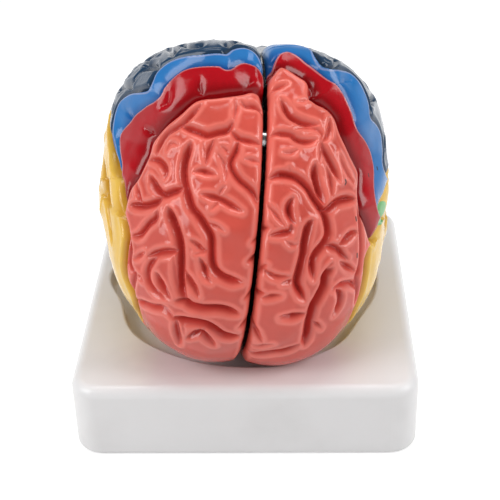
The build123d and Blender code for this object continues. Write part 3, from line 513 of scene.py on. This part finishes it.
def makeLobePaint():
    paint = lobePaint
    material, tree, shader = newMaterial("lobePaint")
    tone, normal = sprayed(tree, paint)
    # painted shade: the fold value darkens the creases and the low front of the ledges
    low = maskFrom(tree, "fold", paint["foldShadeMask"])
    # painted highlight: a lighter salmon along the rims beside the folds, where the gloss would catch the
    # light
    colour = paintMix(tree, paint["salmon"], paint["salmonRimHighlight"], maskFrom(tree, "rim", paint["rimHighlightMask"]))
    colour = paintMix(tree, colour, paint["salmonPaintedShade"], low)
    for field in ("red", "blue", "navy", "yellow", "green"):
        shade = paintMix(tree, paint[field], paint[field + "PaintedShade"], low)
        colour = paintMix(tree, colour, shade, maskFrom(tree, field + "Edge", paint["fieldMask"]))
    # painted highlight: a pale thin band along the raised lips of the red and the blue ledge
    colour = paintMix(tree, colour, paint["lip"], maskFrom(tree, "lip", paint["lipMask"]))
    colour = paintMix(tree, colour, paint["ink"], maskFrom(tree, "mark", paint["inkMask"]))
    # painted shade: the flat inner face is painted near black for the dark gap between the halves
    colour = paintMix(tree, colour, paint["inside"], maskFrom(tree, "flatSide", paint["gapShadeMask"]))
    shift = addNode(tree, "ShaderNodeMapRange")
    putIn(tree, shift, {"Value": tone, "From Min": paint["toneFrom"][0], "From Max": paint["toneFrom"][1],
                        "To Min": paint["toneTo"][0], "To Max": paint["toneTo"][1]})
    tint = addNode(tree, "ShaderNodeHueSaturation")
    putIn(tree, tint, {"Color": colour, "Value": shift.outputs["Result"]})
    putIn(tree, shader, {"Base Color": tint.outputs["Color"], "Normal": normal,
                         "Roughness": paint["roughness"], "Specular IOR Level": paint["specular"],
                         "Coat Weight": paint["coat"], "Coat Roughness": paint["coatRoughness"]})
    return material


# the halves of the brain
foldCut = dict(
    crease=2.3, creaseWidth=0.9, softBottom=0.5, valley=1.35, valleyWidth=1.9, valleyCurve=1.3,
    shoulder=1.0, shoulderWidth=6.5, join=5, endFade=5.0, endDepth=0.35, endCurve=0.7,
    rim=0.7, rimAt=3.0, rimWidth=1.5, faint=2.2, midEdge=1.2,
)
# the red and the blue field are ledges: low in front, rising to a raised lip behind; shade sets the painted
# shade of the low front, and lipAt and lipWidth place a painted highlight on the lip
ledge = dict(
    drop=2.1, lift=1.2, curve=1.3, fullWidth=6.0, thinnest=0.1, behind=6.0, step=1.3, blend=0.3,
    shade=1.6, lipAt=0.55, lipWidth=0.42,
)
lumps = dict(height=0.38, size=10.0, fineShare=0.12, fineSize=4.0)
halfMesh = dict(subdivisions=7, wideReach=4.0, hiddenReach=2.2, closeReach=0.8, markReach=1.0,
                flatCorners=9, smoothAngle=50)
# angles that close the painted fields, and how softly they end
fieldEnd = dict(
    ear=89.9, pastMiddle=-3, every=6, back=180, topFront=60, greenLow=238, greenTop=145,
    middleFrom=-44, middleTo=250, blend=0.5, foldBlend=0.4, flatLimit=0.02, markWidth=0.32,
)


def smoothStep(value, low, high):
    share = np.clip((value - low) / (high - low), 0, 1)
    return share * share * (3 - 2 * share)


def carveFolds(points, lines, kept):
    # kept: for some lines, by number, how much of the cut is left at each point
    shape = foldCut
    total = np.zeros(len(points))
    nearest = np.abs(points[:, 0]) + shape["midEdge"]
    for number, (depth, line) in enumerate(lines):
        gap, fromEnd = distanceTo(line, points)
        awayFromEnd = np.clip(fromEnd / shape["endFade"], 0, 1) ** shape["endCurve"]
        fade = shape["endDepth"] + (1 - shape["endDepth"]) * awayFromEnd
        cut = shape["crease"] * np.exp(-np.hypot(gap, shape["softBottom"]) / shape["creaseWidth"])
        cut += shape["valley"] * np.exp(-(gap / shape["valleyWidth"]) ** shape["valleyCurve"])
        cut += shape["shoulder"] * np.exp(-(gap / shape["shoulderWidth"]) ** 2)
        share = depth * fade * kept.get(number, 1)
        total += (share * cut) ** shape["join"]
        nearest = np.minimum(nearest, gap + shape["faint"] * np.clip(1 - share, 0, 1))
    rim = np.exp(-((nearest - shape["rimAt"]) / shape["rimWidth"]) ** 2)
    return total ** (1 / shape["join"]), rim


def ledgeHeight(edges):
    blend, step = ledge["blend"], ledge["step"]
    height = np.zeros(len(edges["red"]))
    for front, behind in (("red", "blue"), ("blue", "navy")):
        near, far = edges[front], -edges[behind]
        width = np.maximum(near + far, ledge["thinnest"])
        share = np.clip(near / width, 0, 1) ** ledge["curve"]
        size = np.clip(width / ledge["fullWidth"], 0, 1)
        within = smoothStep(near, -blend, step) * smoothStep(far, -step, blend)
        height += within * size * (share * (ledge["drop"] + ledge["lift"]) - ledge["drop"])
    rest = np.clip(1 - edges["navy"] / ledge["behind"], 0, 1)
    return height - smoothStep(edges["navy"], 0, step) * ledge["drop"] * rest ** 2


def handLumps(points):
    heights = []
    for point in points:
        broad = noise.noise(Vector(point) / lumps["size"])
        heights.append(broad + lumps["fineShare"] * noise.noise(Vector(point) / lumps["fineSize"]))
    return np.array(heights) * lumps["height"]


def lieOfBrain(points):
    lean, turn, pitch = (math.radians(brainLie[key]) for key in ("lean", "turn", "pitch"))
    whole = Matrix.Rotation(turn, 3, "Z") @ Matrix.Rotation(lean, 3, "Y") @ Matrix.Rotation(pitch, 3, "X")
    shift = [brainLie[key] for key in ("across", "along", "rise")]
    return points @ np.array(whole).T + np.array(shift)


def paintEdges(side, paint, places, plain):
    ear, back, past = fieldEnd["ear"], fieldEnd["back"], fieldEnd["pastMiddle"]
    overTop = [(around, past) for around in range(back, fieldEnd["topFront"], -fieldEnd["every"])]
    edges = {}
    for field in ("red", "blue", "navy"):
        first, last = paint[field][0], paint[field][-1]
        closing = [(last[0], ear), (back, ear)] + [spot for spot in overTop if spot[0] > first[0]]
        closing.append((first[0], past))
        edges[field] = fieldEdge(paint[field], closing, places, plain)
    first = paint["yellow"][0]
    yellow = paint["yellow"] + yellowUnder + [(first[0] - 360, first[1])]
    edges["yellow"] = fieldEdge(yellow, [], places, plain)
    low, top = fieldEnd["greenLow"], fieldEnd["greenTop"]
    behind = [(around, past) for around in range(low, top, -fieldEnd["every"])]
    edges["green"] = fieldEdge(greenField, behind, places, plain)
    if side > 0:
        spot = fieldEdge(greenSpot + greenSpot[:1], [], places, plain)
        edges["green"] = np.maximum(edges["green"], spot)
    return edges


def halfBlank(name, side):
    # one half of a ball of radius 1, with its flat face on the midline
    bpy.ops.object.select_all(action="DESELECT")
    bpy.ops.mesh.primitive_ico_sphere_add(subdivisions=halfMesh["subdivisions"], radius=1)
    half = bpy.context.object
    half.name = half.data.name = name
    bpy.ops.object.mode_set(mode="EDIT")
    bpy.ops.mesh.select_all(action="SELECT")
    bpy.ops.mesh.bisect(plane_co=(0, 0, 0), plane_no=(side, 0, 0), clear_inner=True, use_fill=True)
    bpy.ops.mesh.select_mode(type="FACE")
    bpy.ops.mesh.select_all(action="DESELECT")
    bpy.ops.object.mode_set(mode="OBJECT")
    return half


def waysOf(mesh, side):
    ways = np.empty(len(mesh.vertices) * 3)
    mesh.vertices.foreach_get("co", ways)
    ways = ways.reshape(-1, 3) * (side, 1, 1)
    ways[:, 0] = np.maximum(ways[:, 0], 0)
    return ways / np.linalg.norm(ways, axis=1)[:, None]


def refineNear(half, side, sets):
    # smaller faces where a fold, a painted edge or a mark needs them; the flat face stays whole
    mesh = half.data
    plain = onSurface(waysOf(mesh, side))
    near = np.zeros(len(plain), bool)
    for lines, reach in sets:
        for line in lines:
            near |= distanceTo(line, plain, reach + 1)[0] < reach
    corners = [list(face.vertices) for face in mesh.polygons]
    chosen = np.array([len(spots) < halfMesh["flatCorners"] and near[spots].any() for spots in corners])
    if not chosen.any():
        return
    bpy.ops.object.mode_set(mode="EDIT")
    bpy.ops.mesh.select_all(action="DESELECT")
    bpy.ops.object.mode_set(mode="OBJECT")
    mesh.polygons.foreach_set("select", chosen)
    bpy.ops.object.mode_set(mode="EDIT")
    bpy.ops.mesh.subdivide(number_cuts=1)
    bpy.ops.object.mode_set(mode="OBJECT")


def setValues(mesh, name, values):
    layer = mesh.attributes.new(name, "FLOAT", "POINT")
    layer.data.foreach_set("value", np.asarray(values, np.float32))


def paintAttributes(mesh, edges, cut, rim, steps, fromMiddle, ink):
    for field, edge in edges.items():
        setValues(mesh, field + "Edge", edge)
    deepest = foldCut["crease"] + foldCut["valley"] + foldCut["shoulder"]
    # the fold value is how deep a point lies, and it sets the painted shade
    setValues(mesh, "fold", (cut - ledge["shade"] * steps) / deepest)
    # the rim value also sets where the painted highlight goes
    setValues(mesh, "rim", rim)
    lips = []
    # a painted highlight just in front of the blue and the navy edge, on the lip of the ledge
    for front, behind in (("red", "blue"), ("blue", "navy")):
        bright = np.exp(-((edges[behind] + ledge["lipAt"]) / ledge["lipWidth"]) ** 2)
        lips.append(bright * (edges[front] > 0))
    setValues(mesh, "lip", np.max(lips, axis=0))
    # the flat inner face gets the near-black painted shade of the gap
    setValues(mesh, "flatSide", np.where(fromMiddle < fieldEnd["flatLimit"], 1.0, 0.0))
    setValues(mesh, "mark", ink)


def shapeHalf(mesh, side, paint, depths, lines, marks):
    ways = waysOf(mesh, side)
    plain = onSurface(ways)
    around = np.degrees(np.arctan2(ways[:, 2], -ways[:, 1]))
    aside = np.degrees(np.arcsin(np.clip(ways[:, 0], -1, 1)))
    edges = paintEdges(side, paint, chart(around, aside), plain)
    # the second and the third fold run along the blue and the navy edge and are cut only behind it
    blend, foldBlend = fieldEnd["blend"], fieldEnd["foldBlend"]
    kept = {1: smoothStep(edges["blue"], -blend, foldBlend), 2: smoothStep(edges["navy"], -blend, foldBlend)}
    cut, rim = carveFolds(plain, list(zip(depths, lines)), kept)
    steps = ledgeHeight(edges)
    rim *= 1 - smoothStep(edges["red"], -blend, blend) * smoothStep(-edges["navy"], -blend, blend)
    radius = np.linalg.norm(plain, axis=1) - cut + foldCut["rim"] * rim + steps + handLumps(plain)
    rounding = brainForm["edgeRound"]
    within = np.clip(radius * ways[:, 0], 0, rounding)
    radius -= rounding - np.sqrt(rounding * rounding - (rounding - within) ** 2)
    made = ways * radius[:, None]
    made[:, 0] += brainForm["gap"] / 2
    made = lieOfBrain(made * (side, 1, 1)) * mm
    mesh.vertices.foreach_set("co", made.ravel())
    ink = [np.full(len(plain), -farAway)]
    ink += [fieldEnd["markWidth"] - distanceTo(line, plain)[0] for line in marks]
    paintAttributes(mesh, edges, cut, rim, steps, ways[:, 0] * radius, np.max(ink, axis=0))


def brainHalf(name, side, folds, paint, node):
    seen = [surfaceLine(pairs) for depth, pairs in folds]
    hidden = [surfaceLine(pairs) for depth, pairs in hiddenFolds]
    hidden += [templeLine(pairs) for depth, pairs in templeFolds]
    drawn = [surfaceLine(paint[field]) for field in ("red", "blue", "navy", "yellow")]
    middle = range(fieldEnd["middleFrom"], fieldEnd["middleTo"], fieldEnd["every"])
    drawn.append(surfaceLine([(around, 0) for around in middle]))
    marks = [surfaceLine(pairs) for pairs in (leftMarks if side > 0 else [])]
    depths = [depth for depth, pairs in folds + hiddenFolds + templeFolds]

    half = halfBlank(name, side)
    close = halfMesh["closeReach"]
    refineNear(half, side, [(seen + drawn, halfMesh["wideReach"]), (hidden, halfMesh["hiddenReach"])])
    refineNear(half, side, [(seen + drawn, close), (marks, halfMesh["markReach"])])
    refineNear(half, side, [(marks, close)])
    shapeHalf(half.data, side, paint, depths, seen + hidden, marks)

    triangles = sum(len(face.vertices) - 2 for face in half.data.polygons)
    print("brain model:", name, "triangles", triangles)
    bpy.ops.object.shade_smooth_by_angle(angle=math.radians(halfMesh["smoothAngle"]))
    half.data.materials.append(halfPaint)
    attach(half, "root")
    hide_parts(node)


halfPaint = makeLobePaint()
brainHalf("leftBrainHalf", 1, leftFolds + leftNicks, leftPaint, "left_hemisphere")
brainHalf("rightBrainHalf", -1, rightFolds + rightNicks, rightPaint, "right_hemisphere")
print("brain model: both halves folded and painted")


# base
baseFinish = dict(
    colour=(0.79, 0.782, 0.785), worn=(0.745, 0.735, 0.735), wornMask=(0.45, 0.8),
    grain=700.0, waviness=35.0, bump=0.05, roughness=0.32, coat=0.15, coatRoughness=0.12,
)


def makeBaseFinish():
    finish = baseFinish
    material, tree, shader = newMaterial("whiteMoulding")
    tone, normal = sprayed(tree, finish)
    mask = softRange(tree, tone, *finish["wornMask"])
    colour = paintMix(tree, finish["colour"], finish["worn"], mask)
    putIn(tree, shader, {"Base Color": colour, "Normal": normal, "Roughness": finish["roughness"],
                         "Coat Weight": finish["coat"], "Coat Roughness": finish["coatRoughness"]})
    return material


# small pieces underneath, and the pins
paleLook = dict(
    colour=(0.72, 0.50, 0.36), worn=(0.62, 0.38, 0.25), grain=1100.0, waviness=160.0, bump=0.15,
    roughness=0.25, coat=0.5, coatRoughness=0.08,
)
steelLook = dict(
    colour=(0.60, 0.60, 0.61), bright=(0.74, 0.74, 0.75), stretch=(60.0, 2500.0, 2500.0),
    lineDetail=3.0, smooth=0.12, rough=0.34,
)


def makePaleFinish():
    look = paleLook
    material, tree, shader = newMaterial("paleMoulding")
    tone, normal = sprayed(tree, look)
    colour = paintMix(tree, look["colour"], look["worn"], tone)
    putIn(tree, shader, {"Base Color": colour, "Normal": normal, "Roughness": look["roughness"],
                         "Coat Weight": look["coat"], "Coat Roughness": look["coatRoughness"]})
    return material


def makePinSteel():
    look = steelLook
    material, tree, shader = newMaterial("groundSteel")
    place = addNode(tree, "ShaderNodeTexCoord")
    stretch = addNode(tree, "ShaderNodeMapping")
    putIn(tree, stretch, {"Vector": place.outputs["Object"], "Scale": look["stretch"]})
    lines = addNode(tree, "ShaderNodeTexNoise")
    putIn(tree, lines, {"Vector": stretch.outputs["Vector"], "Scale": 1.0, "Detail": look["lineDetail"]})
    rough = addNode(tree, "ShaderNodeMapRange")
    putIn(tree, rough, {"Value": lines.outputs["Fac"], "To Min": look["smooth"], "To Max": look["rough"]})
    colour = paintMix(tree, look["colour"], look["bright"], lines.outputs["Fac"])
    putIn(tree, shader, {"Base Color": colour, "Metallic": 1.0, "Roughness": rough.outputs["Result"]})
    return material


def dress(node, material):
    nodes[node].data.materials.clear()
    nodes[node].data.materials.append(material)


dress("base", makeBaseFinish())
paleFinish = makePaleFinish()
for node in ("left_cerebellum", "right_cerebellum", "left_brainstem", "right_brainstem"):
    dress(node, paleFinish)
dress("joining_pins", makePinSteel())
print("brain model: base, small pieces and pins finished")


# floor, light and camera
floorLook = dict(size=12, colour=(0.72, 0.72, 0.72), cloud=(0.76, 0.76, 0.76), cloudScale=3.0,
                 roughness=0.9, glow=0.5)
# the room lights the model, and a white cove, darker overhead, shows in its gloss
room = dict(light=0.38, coveLow=0.08, coveHigh=0.42, coveWhite=1.0, coveDark=0.10)
lamps = [
    dict(name="leftSoftbox", place=(-0.75, -0.45, 0.65), aim=(0, 0, 0.09), size=(0.5, 0.65), power=5.2),
    dict(name="rightSoftbox", place=(0.80, -0.25, 0.60), aim=(0, 0, 0.09), size=(0.4, 0.6), power=4.0),
    dict(name="topSoftbox", place=(0.0, 0.15, 1.0), aim=(0, 0, 0.05), size=(0.7, 0.4), power=3.0),
]
viewpoint = dict(place=(0.022036, -0.510358, 0.374489), yaw=-2.3, pitch=31.5, roll=-1.7,
                 lens=86.4, sensor=36.0, nearest=0.05, farthest=20)


def straightView(tree, path):
    # 1 for what the camera sees straight on, mirrored or through glass
    direct = addNode(tree, "ShaderNodeMath", operation="ADD")
    shown = addNode(tree, "ShaderNodeMath", operation="ADD", use_clamp=True)
    putIn(tree, direct, {0: path.outputs["Is Camera Ray"], 1: path.outputs["Is Glossy Ray"]})
    putIn(tree, shown, {0: direct.outputs[0], 1: path.outputs["Is Transmission Ray"]})
    return shown.outputs[0]


def makeFloor():
    look = floorLook
    bpy.ops.object.select_all(action="DESELECT")
    bpy.ops.mesh.primitive_plane_add(size=look["size"], location=(0, 0, 0))
    floor = bpy.context.object
    floor.name = floor.data.name = "paleFloor"
    material, tree, shader = newMaterial("paleFloorCard")
    place = addNode(tree, "ShaderNodeTexCoord")
    cloud = addNode(tree, "ShaderNodeTexNoise")
    putIn(tree, cloud, {"Vector": place.outputs["Object"], "Scale": look["cloudScale"]})
    colour = paintMix(tree, look["colour"], look["cloud"], cloud.outputs["Fac"])
    path = addNode(tree, "ShaderNodeLightPath")
    glow = addNode(tree, "ShaderNodeMath", operation="MULTIPLY")
    putIn(tree, glow, {0: straightView(tree, path), 1: look["glow"]})
    putIn(tree, shader, {"Base Color": colour, "Roughness": look["roughness"],
                         "Emission Color": (1, 1, 1, 1), "Emission Strength": glow.outputs[0]})
    floor.data.materials.append(material)


def softLight(name, place, aim, size, power):
    light = bpy.data.lights.new(name, "AREA")
    light.shape = "RECTANGLE"
    light.size, light.size_y = size
    light.energy = power
    lamp = bpy.data.objects.new(name, light)
    bpy.context.scene.collection.objects.link(lamp)
    lamp.location = place
    lamp.rotation_euler = (Vector(aim) - Vector(place)).to_track_quat("-Z", "Y").to_euler()


def makeWorld():
    world = bpy.data.worlds.new("whiteRoom")
    world.use_nodes = True
    bpy.context.scene.world = world
    tree = world.node_tree
    light = tree.nodes["Background"]
    putIn(tree, light, {"Color": (1, 1, 1, 1), "Strength": room["light"]})
    way = addNode(tree, "ShaderNodeTexCoord")
    parts = addNode(tree, "ShaderNodeSeparateXYZ")
    cove = addNode(tree, "ShaderNodeMapRange", interpolation_type="SMOOTHSTEP")
    putIn(tree, parts, {"Vector": way.outputs["Generated"]})
    putIn(tree, cove, {"Value": parts.outputs["Z"], "From Min": room["coveLow"], "From Max": room["coveHigh"],
                       "To Min": room["coveWhite"], "To Max": room["coveDark"]})
    path = addNode(tree, "ShaderNodeLightPath")
    white = addNode(tree, "ShaderNodeMath", operation="MAXIMUM")
    putIn(tree, white, {0: cove.outputs["Result"], 1: path.outputs["Is Camera Ray"]})
    backdrop = addNode(tree, "ShaderNodeBackground")
    putIn(tree, backdrop, {"Color": (1, 1, 1, 1), "Strength": white.outputs[0]})
    seen = addNode(tree, "ShaderNodeMixShader")
    tree.links.new(straightView(tree, path), seen.inputs["Fac"])
    tree.links.new(light.outputs[0], seen.inputs[1])
    tree.links.new(backdrop.outputs[0], seen.inputs[2])
    tree.links.new(seen.outputs[0], tree.nodes["World Output"].inputs["Surface"])


def makeCamera():
    view = viewpoint
    yaw, pitch, roll = (math.radians(view[key]) for key in ("yaw", "pitch", "roll"))
    ahead = Vector((math.sin(yaw) * math.cos(pitch), math.cos(yaw) * math.cos(pitch), -math.sin(pitch)))
    level = Vector((math.cos(yaw), -math.sin(yaw), 0))
    upright = level.cross(ahead)
    right = level * math.cos(roll) + upright * math.sin(roll)
    up = upright * math.cos(roll) - level * math.sin(roll)
    data = bpy.data.cameras.new("photoCamera")
    data.lens, data.sensor_width = view["lens"], view["sensor"]
    data.clip_start, data.clip_end = view["nearest"], view["farthest"]
    camera = bpy.data.objects.new("photoCamera", data)
    bpy.context.scene.collection.objects.link(camera)
    turned = Matrix((right, up, -ahead)).transposed().to_4x4()
    camera.matrix_world = Matrix.Translation(view["place"]) @ turned
    bpy.context.scene.camera = camera


makeFloor()
makeWorld()
for lamp in lamps:
    softLight(**lamp)
makeCamera()
bpy.context.scene.view_settings.view_transform = "Standard"
print("brain model: studio ready")
